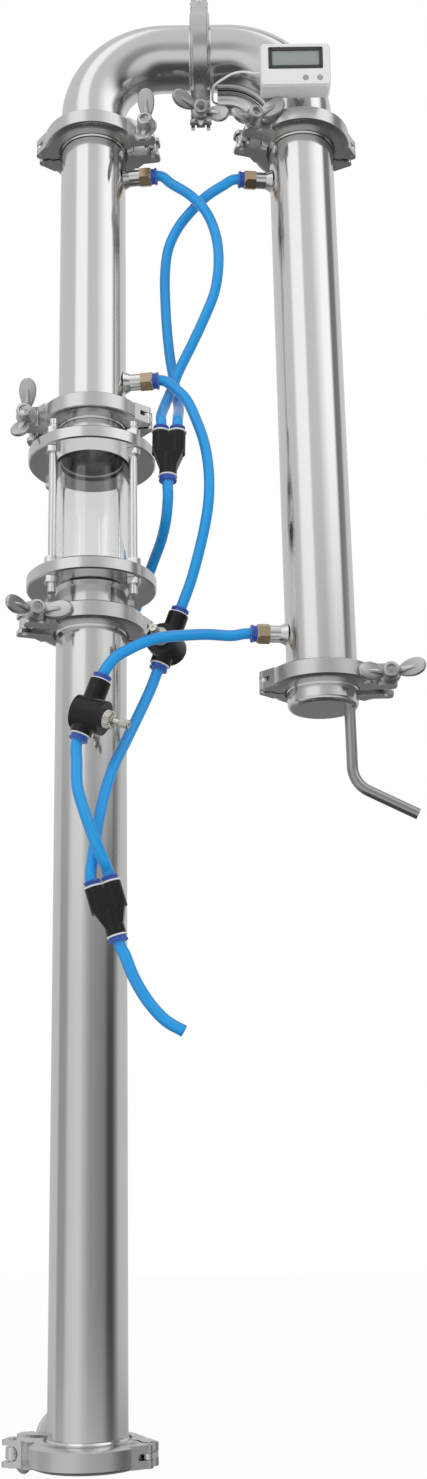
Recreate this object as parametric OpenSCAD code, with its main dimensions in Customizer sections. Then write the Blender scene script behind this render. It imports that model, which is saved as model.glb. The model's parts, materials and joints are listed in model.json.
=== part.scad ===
// Reflux still column: a riser, a sight glass, a water-cooled dephlegmator, two elbows and
// a product condenser, joined by ferrules and hinged clamps, with the cooling-water hoses.
// The origin is the centre of the base ferrule's sealing face. +Z runs up the column,
// +X points from the column to the condenser, and the thermometer faces -Y.

/* [Tubes] */
// Outside diameter of the column, elbow and condenser tubes
tube_od = 51; // [42:0.5:62]
// Wall thickness of those tubes
tube_wall = 1.5; // [1:0.1:2]
// Length of the riser between its sealing faces
riser_len = 546.5; // [440:0.5:660]
// Length of the dephlegmator between its sealing faces
dephlegmator_len = 243; // [190:1:300]
// Length of the condenser between its sealing faces
condenser_len = 452; // [370:1:550]
// From an elbow's sealing face to the centre line of its other leg
elbow_reach = 82; // [74:1:100]
// How far the centre joint stands from midway, toward the condenser
centre_shift = 3.5; // [0:0.5:6]
// Straight length of an elbow's leg before its bend
elbow_leg = 24; // [14:0.5:36]
// Depth of the end cap below its sealing face
cap_depth = 20; // [16:1:30]

/* [Ferrules and gaskets] */
// How far a ferrule stands out from its tube
ferrule_lip = 6.5; // [5:0.1:8]
// Thickness of a ferrule at its rim
ferrule_rim = 2.85; // [2.4:0.05:3.4]
// Angle of a ferrule's tapered back
ferrule_taper = 20; // [15:1:25]
// Thickness of a joint gasket when clamped
gasket_t = 2; // [1.5:0.1:3]
// Radius of the bead groove in a ferrule's face
groove_bead = 1.4; // [1.2:0.1:1.8]
// How far a gasket's bore stands back from the tubes' bore
gasket_back = 0.5; // [0.2:0.1:1.5]

/* [Clamps] */
// From a ferrule's rim to the outside of the clamp band
clamp_wall = 6.5; // [5.5:0.1:8]
// Height of the clamp's outer band
band_h = 12.3; // [11:0.1:14]
// Height of the whole clamp over its lips
clamp_h = 15.8; // [15.6:0.1:20]
// Diameter of the swing bolt
bolt_d = 7; // [6:0.1:8]
// Height of the slot that the swing bolt lies in
slot_h = 9.6; // [9:0.1:10.4]
// Diameter of the pin that the swing bolt turns on
pivot_d = 5; // [4:0.1:5.6]
// From the clamp band's outside to the centre line of the bolt
bolt_offset = 8; // [7:0.1:10]
// Length of a wing nut's finger pad
pad_len = 22; // [20:1:30]
// Width of the pad at its widest
pad_w = 11; // [9:0.5:15]

/* [Sight glass] */
// Length of the sight glass unit between its sealing faces
sight_len = 161.5; // [150:0.5:190]
// Thickness of each flange
flange_t = 10; // [8:0.5:12]
// How far a flange stands out from the tube
flange_lip = 22; // [20:0.5:26]
// Length of the neck between a sealing face and its flange
neck_len = 25; // [20:0.5:30]
// Wall thickness of the glass tube
glass_wall = 3.5; // [2.5:0.1:5]
// Diameter of the tie rods
rod_d = 6; // [5:0.1:6.5]
// Turn of the tie rods about the column, from the diagonals
rod_turn = 6; // [0:1:20]

/* [Water ports] */
// From a dephlegmator's sealing face to the port nearest to it
dephlegmator_port = 31; // [26:1:40]
// From a condenser's sealing face to the port nearest to it
condenser_port = 35; // [26:1:50]
// Outside diameter of a port's stub
stub_d = 12.6; // [10:0.5:13]
// Length of a port's stub beyond the tube
stub_len = 12; // [9:0.5:18]
// Turn of the ports toward the front
port_turn = 6; // [0:1:20]
// Diameter of the water hoses
hose_d = 8; // [8:0.1:8.4]

/* [Spout] */
// Outside diameter of the spout
spout_d = 8; // [6:0.5:9]
// Straight drop of the spout below the cap
spout_drop = 43; // [30:1:60]
// Radius of the spout's bend
spout_bend = 20; // [14:1:30]
// Straight length of the spout after its bend
spout_run = 38; // [20:1:60]

/* [Thermometer] */
// Width of the thermometer's case
case_w = 54; // [46:1:62]
// Height of the case
case_h = 35; // [32:1:42]
// Depth of the case
case_d = 18; // [15:1:21]

/* [Hidden] */
$fn = 64;
eps = 0.01;

// Tube and ferrule radii
tube_r = tube_od / 2;
bore_r = tube_r - tube_wall;
ferrule_r = tube_r + ferrule_lip;
neck_fillet = 1.5;
neck_r = tube_r + neck_fillet;
bead_ring_r = ferrule_r - 3.8;
bead_clear = 0.1;

// Heights of the joints, at the middle of their gaskets, and the condenser's axis
riser_joint = riser_len + gasket_t / 2;
dephlegmator_joint = riser_joint + gasket_t + sight_len;
elbow_joint = dephlegmator_joint + gasket_t + dephlegmator_len;
elbow_z = elbow_joint + gasket_t / 2 + elbow_reach;
centre_x = elbow_reach + gasket_t / 2 + centre_shift;
condenser_x = 2 * elbow_reach + gasket_t;
condenser_joint = elbow_joint - gasket_t - condenser_len;
cap_top = condenser_joint - gasket_t / 2;
cap_bottom = cap_top - cap_depth;
elbow_bend = elbow_reach - elbow_leg;

// Clamp ring
seat_clear = 0.15;
groove_r = ferrule_r + 0.4;
clamp_r = ferrule_r + clamp_wall;
clamp_in_r = neck_r + 0.8;
lip_slope = 5.5;
split_angle = 2;
split_y = 1.4;
bolt_angle = 9;
bolt_x = clamp_r + bolt_offset;
lug_tip = bolt_x + 5.5;
lug_gap = 5.5;
lug_seat = 16.5;
pivot_y = 10.5;
pin_clear = 0.1;
slot_end = 1.8;
hinge_x = clamp_r + 3.6;
hinge_y = 4.6;
ear_r = 3.2;
ear_h = 13.4;
link_t = 3.2;
link_slot = 3.8;
hinge_pin_d = 2.8;

// Wing nut
nut_r = 7;
nut_flange_r = 8;
nut_flange_t = 2;
nut_len = 12;
nut_top_r = 5.6;
pad_t = 2.6;
pad_foot = 5.6;
web_t = 5;
wing_flare = 55;
wing_root = 4;

// Each clamp: centre, turn of the ring's axis, spin about that axis, side of the wing nut,
// and turn of the wings about the bolt
CLAMPS = [
    [[0, 0, -gasket_t / 2], [0, 0, 0], -18, 1, 68],
    [[0, 0, riser_joint], [0, 0, 0], 20, -1, 0],
    [[0, 0, dephlegmator_joint], [0, 0, 0], -6, -1, 80],
    [[0, 0, elbow_joint], [0, 0, 0], 172, 1, 85],
    [[centre_x, 0, elbow_z], [0, 90, 0], 200, 1, 68],
    [[condenser_x, 0, elbow_joint], [0, 0, 0], 17, -1, 26],
    [[condenser_x, 0, condenser_joint], [0, 0, 0], 180, 1, 5]
];

// Sight glass
flange_r = tube_r + flange_lip;
glass_seat = 3.5;
glass_gasket = 1.5;
glass_side = 0.3;
glass_r = bore_r + glass_wall;
rod_ring_r = tube_r + 15.5;
rod_clear = 0.3;
rod_end = 7;
nut_af = 10;
nut_h = 5;
lower_flange_z = riser_joint + gasket_t / 2 + neck_len;
upper_flange_z = dephlegmator_joint - gasket_t / 2 - neck_len - flange_t;

// Tube bundles in the two vessels
sheet_inset = 12;
sheet_t = 3;
sheet_gap = 0.1;
core_tube_d = 12;
core_tube_wall = 1;
core_ring = 6;

// Water ports and push-in fittings
stub_r = stub_d / 2;
stub_bore = 4;
stub_weld = 2.5;
fitting_af = 13.4;
fitting_len = 9;
fitting_bore = hose_d / 2 + 0.3;
fitting_depth = 8;
fitting_passage = 2.5;
collar_len = 4.5;
collar_r = 6.5;
collar_lip = 1.5;
port_mouth = tube_r + stub_len + fitting_len + collar_len;

// Barrels of the hose fittings
barrel_r = 7.5;
barrel_collar_r = 6.6;
valve_len = 49;
y_len = 44;
y_spread = 6;
turret_r = 12;
turret_drop = 5;
turret_back = 9;
turret_front = 13;
screw_r = 3;
screw_clear = 0.3;
screw_len = 19;
lock_nut_r = 6.4;
lock_nut_t = 5.5;

// Hose fittings: centre, lean of the barrel from +Z toward +X, and turn of a valve's screw
OUTLET_Y = [[57.8, -20, 674], 2, 0];
INLET_Y = [[16, -40, 333], -16, 0];
DEPHLEGMATOR_VALVE = [[56.5, -4, 535], 20, -108];
CONDENSER_VALVE = [[3, -44, 472], 20, -15];

// Thermometer
probe_z = elbow_joint + gasket_t / 2 + 29;
probe_x = condenser_x - 2;
boss_r = 7;
boss_y = tube_r + 5;
probe_r = 3;
case_x = condenser_x - 6;
case_front = 57;
case_tilt = 8;
case_rise = 2;
case_corner = 3;
bezel_w = 42;
bezel_h = 18;
bezel_t = 1.2;
bezel_rise = 5;
button_r = 2;
button_gap = 11;
button_side = 13;
button_drop = 11.5;

// Blind sleeve under the right elbow that the second probe's lead enters
sleeve_r = 9;
sleeve_gap = 0.3;
sleeve_turn = 25;
sleeve_mouth = centre_x + 14;
sleeve_arc = 72;
sleeve_bore = 3;
lead_d = 1.8;
lead_sides = 8;
sleeve_y = (tube_r + sleeve_r + sleeve_gap) * sin(sleeve_turn);
sleeve_bend = elbow_bend - (tube_r + sleeve_r + sleeve_gap) * cos(sleeve_turn);
sleeve_z = elbow_joint + gasket_t / 2 + elbow_leg + sleeve_bend;

// Route of the probe's lead, from the case's side to the sleeve
LEAD = [
    [128, -45, 987], [120, -42, 991], [112, -39, 992], [105, -35, 991], [99.5, -31, 990],
    [97, -26, 991], [96.3, -18, 994], [96.2, -9, 998], [96.2, 1, 1001.5], [97, 9, 1005],
    [99.5, 13.5, 1007]
];

// Routes of the water hoses, between their fittings
hose_sides = 10;
DEPHLEGMATOR_OUTLET = [
    [62, -7, 916], [77, -11, 902], [89, -12, 886], [96, -12, 866], [98, -12, 843], [95, -9, 819],
    [87, -6, 798], [76, 0, 776], [66, 3, 756], [60, 2.5, 739], [55, -5, 722], [52.5, -14, 709]
];
CONDENSER_OUTLET = [
    [104, -6, 915], [90, -3, 907], [78, 0, 896], [67, 2, 882], [59, 5, 865], [56, 8, 844],
    [56, 11, 820], [57, 12, 797], [59, 13, 774], [62, 13, 753], [64, 10, 737], [65.5, 1, 722],
    [65, -12, 709]
];
DEPHLEGMATOR_INLET = [
    [61, -7, 737], [71, -12, 724], [78, -15, 706], [84, -16, 686], [87, -15, 665], [87, -14, 643],
    [84, -12, 622], [79, -9, 601], [73, -6, 580]
];
CONDENSER_INLET = [
    [101, -10, 535], [83, -19, 533], [64, -31, 528], [50, -38, 524], [40, -41, 520],
    [29, -43, 514], [20, -44, 508]
];
DEPHLEGMATOR_SUPPLY = [
    [42, -6, 495], [34, -12, 475], [26, -20, 455], [18, -28, 435], [12, -33, 414], [8, -37, 393],
    [5, -39, 371]
];
CONDENSER_SUPPLY = [
    [-6, -46, 434], [-5, -51, 415], [0, -54, 397], [6, -53, 380], [12, -47, 366]
];
DRAIN = [
    [57, -18, 640], [55, -7, 627], [51, 9, 618], [45, 25, 609], [37, 40, 594], [27, 51, 572],
    [16, 57, 548], [9, 57, 525], [4, 55, 502], [1, 52, 480], [0, 49, 458]
];
SUPPLY = [
    [26, -40, 303], [32, -39, 288], [41, -37, 273], [52, -34, 261], [64, -32, 254]
];

function reversed(list) = [for (i = [len(list) - 1:-1:0]) list[i]];
function unit(v) = v / norm(v);

// Profile of a ferrule from its bore, over its rim and up its taper; dir is the way it necks
function ferrule_line(z, dir) = [
    for (p = [
        [bore_r, 0], [ferrule_r, 0], [ferrule_r, ferrule_rim],
        [neck_r, ferrule_rim + ferrule_lip_rise()],
        [tube_r, ferrule_rim + ferrule_lip_rise() + 2 * neck_fillet]
    ]) [p[0], z + dir * p[1]]
];
function ferrule_lip_rise() = (ferrule_r - neck_r) * tan(ferrule_taper);

// Half height of the clamp's V groove at radius r
function groove_half(r) =
    gasket_t / 2 + ferrule_rim + (ferrule_r - min(r, ferrule_r)) * tan(ferrule_taper) + seat_clear;

// Direction of a leaning barrel and the point dist from its centre along it
function lean_dir(fitting) = [sin(fitting[1]), 0, cos(fitting[1])];
function on_barrel(fitting, dist) = fitting[0] + dist * lean_dir(fitting);
function on_y_arm(fitting, side, dist) =
    on_barrel(fitting, dist) + side * y_spread * [cos(fitting[1]), 0, -sin(fitting[1])];

// Points where a hose meets a fitting: dist back from its mouth
function port_point(x, z, side, dist) =
    [x + side * (port_mouth - dist) * cos(port_turn), -(port_mouth - dist) * sin(port_turn), z];

module ring_groove(z) {
    translate([0, 0, z]) rotate_extrude() translate([bead_ring_r, 0]) circle(groove_bead, $fn = 24);
}

module pipe(low, high) {
    difference() {
        rotate_extrude()
            polygon(concat(ferrule_line(low, 1), reversed(ferrule_line(high, -1))));
        ring_groove(low);
        ring_groove(high);
    }
}

module riser_column() {
    color("silver") pipe(0, riser_len);
}

// Port stub pointing +X from the axis, with its weld and its passage into the jacket
module stub() {
    translate([bore_r + tube_wall / 2, 0, 0]) rotate([0, 90, 0]) {
        cylinder(h = stub_len + tube_wall / 2, r = stub_r);
        cylinder(h = tube_wall / 2 + 4, r1 = stub_r + stub_weld, r2 = stub_r);
    }
}

module stub_hole() {
    translate([bore_r - 1, 0, 0]) rotate([0, 90, 0])
        cylinder(h = stub_len + tube_wall + 2, r = stub_bore);
}

// Vessel between two ferrules with a port near each end, turned to face side
module vessel(low, high, inset, turn) {
    ports = [low + inset, high - inset];
    difference() {
        union() {
            pipe(low, high);
            for (z = ports) translate([0, 0, z]) rotate([0, 0, turn]) stub();
        }
        for (z = ports) translate([0, 0, z]) rotate([0, 0, turn]) stub_hole();
        translate([0, 0, low + ferrule_rim]) cylinder(h = high - low - 2 * ferrule_rim, r = bore_r);
    }
}

// Tube bundle: two sheets and the vapour tubes that pass through them
module core(low, high) {
    difference() {
        union() {
            for (z = [low + sheet_inset, high - sheet_inset - sheet_t])
                translate([0, 0, z]) cylinder(h = sheet_t, r = bore_r - sheet_gap);
            core_tubes(low + sheet_inset, high - sheet_inset, core_tube_d / 2);
        }
        core_tubes(low, high, core_tube_d / 2 - core_tube_wall);
    }
}

module core_tubes(low, high, r) {
    pitch = (bore_r - core_tube_d / 2) * 0.83;
    translate([0, 0, low]) cylinder(h = high - low, r = r);
    for (i = [0:core_ring - 1]) rotate([0, 0, i * 360 / core_ring]) translate([pitch, 0, low])
        cylinder(h = high - low, r = r);
}

module dephlegmator() {
    color("silver")
        vessel(dephlegmator_joint + gasket_t / 2, elbow_joint - gasket_t / 2,
               dephlegmator_port, -port_turn);
}

module dephlegmator_core() {
    color("silver") core(dephlegmator_joint + gasket_t / 2, elbow_joint - gasket_t / 2);
}

module condenser() {
    color("silver") translate([condenser_x, 0, 0])
        vessel(condenser_joint + gasket_t / 2, elbow_joint - gasket_t / 2,
               condenser_port, 180 + port_turn);
}

module condenser_core() {
    color("silver") translate([condenser_x, 0, 0])
        core(condenser_joint + gasket_t / 2, elbow_joint - gasket_t / 2);
}

// Elbow from a face at the origin looking down, up its leg, round its bend to face +X; the
// second leg is longer than the first by extra
module elbow(extra) {
    difference() {
        union() {
            elbow_leg_stub(elbow_leg);
            far_face(extra) elbow_leg_stub(elbow_leg + extra);
            translate([elbow_bend, 0, elbow_leg]) rotate([90, 0, 0])
                rotate_extrude(angle = 90, start = 90) translate([elbow_bend, 0]) difference() {
                    circle(tube_r);
                    circle(bore_r);
                }
        }
        ring_groove(0);
        far_face(extra) ring_groove(0);
    }
}

module far_face(extra) {
    translate([elbow_reach + extra, 0, elbow_reach]) rotate([0, -90, 0]) children();
}

module elbow_leg_stub(len) {
    rotate_extrude() polygon(concat(ferrule_line(0, 1), [[tube_r, len], [bore_r, len]]));
}

module left_elbow() {
    color("silver") translate([0, 0, elbow_joint + gasket_t / 2]) elbow(centre_shift);
}

module right_elbow() {
    color("silver") difference() {
        union() {
            translate([condenser_x, 0, elbow_joint + gasket_t / 2]) mirror([1, 0, 0])
                elbow(-centre_shift);
            difference() {
                translate([probe_x, 0, probe_z]) rotate([90, 0, 0]) cylinder(h = boss_y, r = boss_r);
                elbow_inside();
            }
        }
        translate([probe_x, 0, probe_z]) rotate([90, 0, 0])
            cylinder(h = boss_y + 1, r = probe_r + pin_clear);
    }
}

// Space inside the right elbow's bend
module elbow_inside() {
    translate([condenser_x - elbow_bend, 0, elbow_joint + gasket_t / 2 + elbow_leg])
        rotate([90, 0, 0]) rotate_extrude(angle = 110, start = -10)
            translate([elbow_bend, 0]) circle(tube_r - tube_wall / 2);
}

module end_cap() {
    corner = 4;
    color("silver") translate([condenser_x, 0, 0]) difference() {
        rotate_extrude() polygon(concat(
            ferrule_line(cap_top, -1),
            [for (a = [0:15:90])
                [tube_r - corner + corner * cos(a), cap_bottom + corner - corner * sin(a)]],
            [[0, cap_bottom], [0, cap_bottom + tube_wall], [bore_r, cap_bottom + tube_wall]]
        ));
        ring_groove(cap_top);
        translate([spout_root()[0], spout_root()[1], cap_bottom - 1])
            cylinder(h = tube_wall + 2, r = spout_d / 2 + 0.05);
    }
}

function spout_root() = [tube_r - 7, -3];

// Bent delivery tube, welded through the bottom of the cap
module spout() {
    turn = 63;
    color("silver")
        translate([condenser_x + spout_root()[0], spout_root()[1], cap_bottom + tube_wall]) {
            translate([0, 0, -spout_drop - tube_wall]) ring_tube(spout_drop + tube_wall);
            translate([spout_bend, 0, -spout_drop - tube_wall]) rotate([90, 0, 0]) {
                rotate_extrude(angle = turn, start = 180) translate([spout_bend, 0])
                    difference() {
                        circle(spout_d / 2);
                        circle(spout_d / 2 - 1);
                    }
                rotate([0, 0, turn]) translate([-spout_bend, 0, 0]) rotate([90, 0, 0])
                    ring_tube(spout_run);
            }
        }
}

module ring_tube(len) {
    difference() {
        cylinder(h = len, r = spout_d / 2);
        translate([0, 0, -eps]) cylinder(h = len + 2 * eps, r = spout_d / 2 - 1);
    }
}

// Neck and flange of the sight glass, from a sealing face at 0 up to the glass
module sight_flange() {
    face = neck_len + flange_t;
    difference() {
        rotate_extrude() polygon(concat(
            ferrule_line(0, 1),
            [[tube_r, neck_len - 3], [tube_r + 2, neck_len], [flange_r - 1, neck_len],
             [flange_r, neck_len + 1], [flange_r, face - 1], [flange_r - 1, face],
             [glass_r + glass_side, face], [glass_r + glass_side, face - glass_seat],
             [bore_r, face - glass_seat]]
        ));
        ring_groove(0);
        at_rods() translate([0, 0, neck_len - 1])
            cylinder(h = flange_t + 2, r = rod_d / 2 + rod_clear);
    }
}

module at_rods() {
    for (i = [0:3]) rotate([0, 0, 45 + rod_turn + i * 90]) translate([rod_ring_r, 0, 0]) children();
}

module sight_lower_flange() {
    color("silver") translate([0, 0, riser_joint + gasket_t / 2]) sight_flange();
}

module sight_upper_flange() {
    color("silver") translate([0, 0, dephlegmator_joint - gasket_t / 2])
        rotate([180, 0, 2 * rod_turn]) sight_flange();
}

module sight_glass() {
    low = lower_flange_z + flange_t - glass_seat + glass_gasket;
    high = upper_flange_z + glass_seat - glass_gasket;
    color("lightcyan", 0.4) translate([0, 0, low]) difference() {
        cylinder(h = high - low, r = glass_r);
        translate([0, 0, -1]) cylinder(h = high - low + 2, r = bore_r);
    }
}

module sight_gaskets() {
    for (z = [lower_flange_z + flange_t - glass_seat, upper_flange_z + glass_seat - glass_gasket])
        color("white") translate([0, 0, z]) difference() {
            cylinder(h = glass_gasket, r = glass_r);
            translate([0, 0, -1]) cylinder(h = glass_gasket + 2, r = bore_r);
        }
}

module tie_rods() {
    low = lower_flange_z - nut_h - rod_end;
    color("silver") translate([0, 0, low]) at_rods()
        cylinder(h = upper_flange_z + flange_t + nut_h + rod_end - low, r = rod_d / 2);
}

module tie_rod_nuts() {
    for (z = [lower_flange_z - nut_h, lower_flange_z + flange_t,
              upper_flange_z - nut_h, upper_flange_z + flange_t])
        color("silver") translate([0, 0, z]) at_rods() difference() {
            cylinder(h = nut_h, d = nut_af / cos(30), $fn = 6);
            translate([0, 0, -1]) cylinder(h = nut_h + 2, r = rod_d / 2 + 0.05);
        }
}

// Gasket with a bead on each face, centred on its joint
module joint_gasket() {
    rotate_extrude() {
        translate([bore_r + gasket_back, -gasket_t / 2])
            square([ferrule_r - 0.5 - bore_r - gasket_back, gasket_t]);
        for (side = [-1, 1]) translate([bead_ring_r, side * gasket_t / 2])
            circle(groove_bead - bead_clear, $fn = 24);
    }
}

module joint_gaskets() {
    color("white") for (i = [1:6]) translate(CLAMPS[i][0]) rotate(CLAMPS[i][1]) joint_gasket();
}

// Places a clamp's pieces on a joint: hinge toward local +X, bolt toward -X, nut on the +Y side
module on_joint(c) {
    translate(c[0]) rotate(c[1]) rotate([0, 0, c[2]]) rotate([c[3] < 0 ? 180 : 0, 0, 0]) children();
}

module clamp_profile() {
    half = [
        [clamp_in_r, groove_half(clamp_in_r)], [clamp_in_r, clamp_h / 2],
        [clamp_r - lip_slope, clamp_h / 2], [clamp_r - 0.8, band_h / 2], [clamp_r, band_h / 2 - 0.8]
    ];
    polygon(concat(
        [[groove_r, groove_half(ferrule_r)]], half,
        reversed([for (p = half) [p[0], -p[1]]]), [[groove_r, -groove_half(ferrule_r)]]
    ));
}

// Forked lug that holds or receives the bolt, in plan, for the half on +Y
module lug_plan() {
    inner = groove_r + 1.2;
    polygon([
        [-inner * cos(10), lug_gap], [-lug_tip + 2, lug_gap], [-lug_tip, lug_gap + 2],
        [-lug_tip, lug_seat - 2], [-lug_tip + 2, lug_seat], [-clamp_r + 0.5, lug_seat],
        [-clamp_r * cos(34), clamp_r * sin(34)],
        [-inner * cos(34), inner * sin(34)], [-inner * cos(22), inner * sin(22)]
    ]);
}

// Ear for the hinge's pin, in plan, tapering out of the ring's end
module ear_plan() {
    translate([hinge_x, hinge_y]) circle(ear_r);
    inner = groove_r + 1.2;
    polygon([
        [inner, split_y], [hinge_x, hinge_y - ear_r], [hinge_x + ear_r, hinge_y],
        [hinge_x + 1, hinge_y + ear_r], [clamp_r * cos(24), clamp_r * sin(24)],
        [inner * cos(24), inner * sin(24)]
    ]);
}

// Half of a clamp on the +Y side; pivot is true for the half that carries the bolt's pin
module clamp_half(pivot) {
    difference() {
        union() {
            rotate_extrude(angle = 180 - split_angle - bolt_angle, start = split_angle)
                clamp_profile();
            linear_extrude(ear_h, center = true) ear_plan();
        }
        translate([hinge_x - ear_r - 0.4, -1, -link_slot / 2]) cube([20, 14, link_slot]);
        translate([hinge_x, hinge_y, -ear_h])
            cylinder(h = 2 * ear_h, r = hinge_pin_d / 2 + pin_clear);
    }
    difference() {
        linear_extrude(clamp_h, center = true) lug_plan();
        translate([0, lug_seat + 20, 0]) rotate([90, 0, 0]) linear_extrude(lug_seat + 30) {
            translate([-clamp_r - slot_end - slot_h / 2, 0]) circle(slot_h / 2);
            translate([-lug_tip - 1, -slot_h / 2])
                square([lug_tip + 1 - clamp_r - slot_end - slot_h / 2, slot_h]);
        }
        if (pivot) translate([-bolt_x, pivot_y, -clamp_h])
            cylinder(h = 2 * clamp_h, r = pivot_d / 2 + pin_clear);
    }
}

module clamp(i) {
    color("silver") on_joint(CLAMPS[i]) {
        clamp_half(false);
        mirror([0, 1, 0]) clamp_half(true);
    }
}

module base_clamp() { clamp(0); }
module riser_clamp() { clamp(1); }
module dephlegmator_clamp() { clamp(2); }
module left_elbow_clamp() { clamp(3); }
module centre_clamp() { clamp(4); }
module right_elbow_clamp() { clamp(5); }
module condenser_clamp() { clamp(6); }

// Eye bolt with its pivot pin, lying across both lugs
module swing_bolts() {
    for (c = CLAMPS) color("silver") on_joint(c) translate([-bolt_x, -pivot_y, 0]) {
        cylinder(h = slot_h - 2.8, r = pivot_d / 2 + 1.9, center = true);
        cylinder(h = clamp_h + 2, r = pivot_d / 2, center = true);
        rotate([-90, 0, 0]) cylinder(h = pivot_y + lug_seat + nut_len - 1, r = bolt_d / 2);
    }
}

// Outline of a finger pad, from its foot at the origin out along +Y
module pad_plan() {
    far = pad_len - pad_w / 2;
    translate([0, far]) circle(pad_w / 2);
    polygon([[-pad_foot / 2, 0], [pad_foot / 2, 0], [pad_w / 2, far], [-pad_w / 2, far]]);
}

// Wing leaning out from the nut's axis: a pad that faces outward, stiffened by a web behind it
module wing() {
    translate([nut_top_r - 2, 0, wing_root]) rotate([0, wing_flare, 0]) {
        rotate([90, 0, 90]) linear_extrude(pad_t) pad_plan();
        rotate([90, 0, 0]) linear_extrude(web_t, center = true)
            polygon([[0.5, 0], [-3.2, 2], [-3.6, 12], [-1.4, pad_len - 5], [0.5, pad_len - 4]]);
    }
}

module wing_nuts() {
    for (c = CLAMPS) color("silver") on_joint(c) translate([-bolt_x, lug_seat, 0])
        rotate([-90, 0, 0]) rotate([0, 0, c[4]]) difference() {
            union() {
                cylinder(h = nut_flange_t, r = nut_flange_r);
                cylinder(h = nut_len, r1 = nut_r, r2 = nut_top_r);
                for (side = [0, 180]) rotate([0, 0, side]) wing();
            }
            translate([0, 0, -1]) cylinder(h = nut_len + 30, r = bolt_d / 2 + 0.05);
        }
}

// Link in the slot of the forked ears, with the two pins that hold it
module hinge_links() {
    for (c = CLAMPS) color("silver") on_joint(c) {
        linear_extrude(link_t, center = true) {
            for (y = [-hinge_y, hinge_y]) translate([hinge_x, y]) circle(ear_r - 0.2);
            translate([hinge_x - ear_r + 0.2, -hinge_y]) square([2 * ear_r - 0.4, 2 * hinge_y]);
        }
        for (y = [-hinge_y, hinge_y]) translate([hinge_x, y, 0])
            cylinder(h = ear_h + 1, r = hinge_pin_d / 2, center = true);
    }
}

// Places children at a port's stub end, pointing outward along +X
module at_ports() {
    d = [dephlegmator_joint + gasket_t / 2, elbow_joint - gasket_t / 2];
    for (z = [d[0] + dephlegmator_port, d[1] - dephlegmator_port])
        translate([0, 0, z]) rotate([0, 0, -port_turn])
            translate([tube_r + stub_len, 0, 0]) children();
    c = [condenser_joint + gasket_t / 2, elbow_joint - gasket_t / 2];
    for (z = [c[0] + condenser_port, c[1] - condenser_port])
        translate([condenser_x, 0, z]) rotate([0, 0, 180 + port_turn])
            translate([tube_r + stub_len, 0, 0]) children();
}

module port_fittings() {
    color("goldenrod") at_ports() rotate([0, 90, 0]) difference() {
        union() {
            intersection() {
                cylinder(h = fitting_len, d = fitting_af / cos(30), $fn = 6);
                translate([0, 0, -1]) cylinder(h = fitting_len + 1, r1 = fitting_af / 2 + 5.4,
                                               r2 = fitting_af / 2);
            }
            translate([0, 0, -5]) cylinder(h = 6, r = stub_bore - 0.1);
        }
        translate([0, 0, fitting_len - fitting_depth]) cylinder(h = 20, r = fitting_bore);
        translate([0, 0, -6]) cylinder(h = 20, r = fitting_passage);
    }
}

// Push-in release collar, from its seat at 0 out along +Z
module collar(r) {
    difference() {
        union() {
            cylinder(h = collar_len - collar_lip, r = r - 0.6);
            translate([0, 0, collar_len - collar_lip]) cylinder(h = collar_lip, r = r);
        }
        translate([0, 0, -1]) cylinder(h = collar_len + 2, r = fitting_bore);
    }
}

module port_collars() {
    color("royalblue") at_ports() translate([fitting_len, 0, 0]) rotate([0, 90, 0])
        collar(collar_r);
}

// Places children on a leaning barrel's centre
module on_fitting(fitting) {
    translate(fitting[0]) rotate([0, fitting[1], 0]) children();
}

// Two parallel inlets that merge into one outlet below
module y_body() {
    arm = y_len / 2 - collar_len;
    difference() {
        union() {
            for (x = [-y_spread, y_spread]) translate([x, 0, 0])
                cylinder(h = arm, r = y_spread + 0.3);
            translate([0, 0, -arm]) cylinder(h = arm, r = barrel_r - 1);
            rotate([90, 0, 0]) linear_extrude(2 * barrel_r - 3.4, center = true) polygon([
                [-y_spread - 4.6, arm - 3], [-y_spread - 5.2, 2], [-barrel_r + 1.4, -11],
                [barrel_r - 1.4, -11], [y_spread + 5.2, 2], [y_spread + 4.6, arm - 3]
            ]);
        }
        for (x = [-y_spread, y_spread]) translate([x, 0, arm - fitting_depth])
            cylinder(h = fitting_depth + 1, r = fitting_bore);
        translate([0, 0, -arm - 1]) cylinder(h = fitting_depth + 1, r = fitting_bore);
    }
}

module outlet_y_fitting() {
    color("#232126") on_fitting(OUTLET_Y) y_body();
}

module inlet_y_fitting() {
    color("#232126") on_fitting(INLET_Y) y_body();
}

// Straight valve body with the turret that its adjusting screw enters
module valve_body(fitting) {
    arm = valve_len / 2 - collar_len;
    on_fitting(fitting) difference() {
        union() {
            cylinder(h = 2 * arm, r = barrel_r, center = true);
            rotate([0, 0, fitting[2]]) translate([-turret_back, 0, -turret_drop])
                rotate([0, 90, 0]) cylinder(h = turret_back + turret_front, r = turret_r);
        }
        for (side = [-1, 1]) translate([0, 0, side * (arm - fitting_depth / 2 + 0.5)])
            cylinder(h = fitting_depth + 1, r = fitting_bore, center = true);
        rotate([0, 0, fitting[2]]) translate([2, 0, -turret_drop]) rotate([0, 90, 0])
            cylinder(h = turret_front, r = screw_r + screw_clear);
    }
}

module dephlegmator_valve() {
    color("#232126") valve_body(DEPHLEGMATOR_VALVE);
}

module condenser_valve() {
    color("#232126") valve_body(CONDENSER_VALVE);
}

// Adjusting screw with its knurled head, standing out of the turret
module valve_screw(fitting) {
    on_fitting(fitting) rotate([0, 0, fitting[2]]) translate([0, 0, -turret_drop])
        rotate([0, 90, 0]) {
            translate([0, 0, 3]) cylinder(h = turret_front - 3 + screw_len, r = screw_r);
            translate([0, 0, turret_front + 0.3]) cylinder(h = lock_nut_t, r = lock_nut_r);
        }
}

module dephlegmator_valve_screw() {
    color("silver") valve_screw(DEPHLEGMATOR_VALVE);
}

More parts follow.
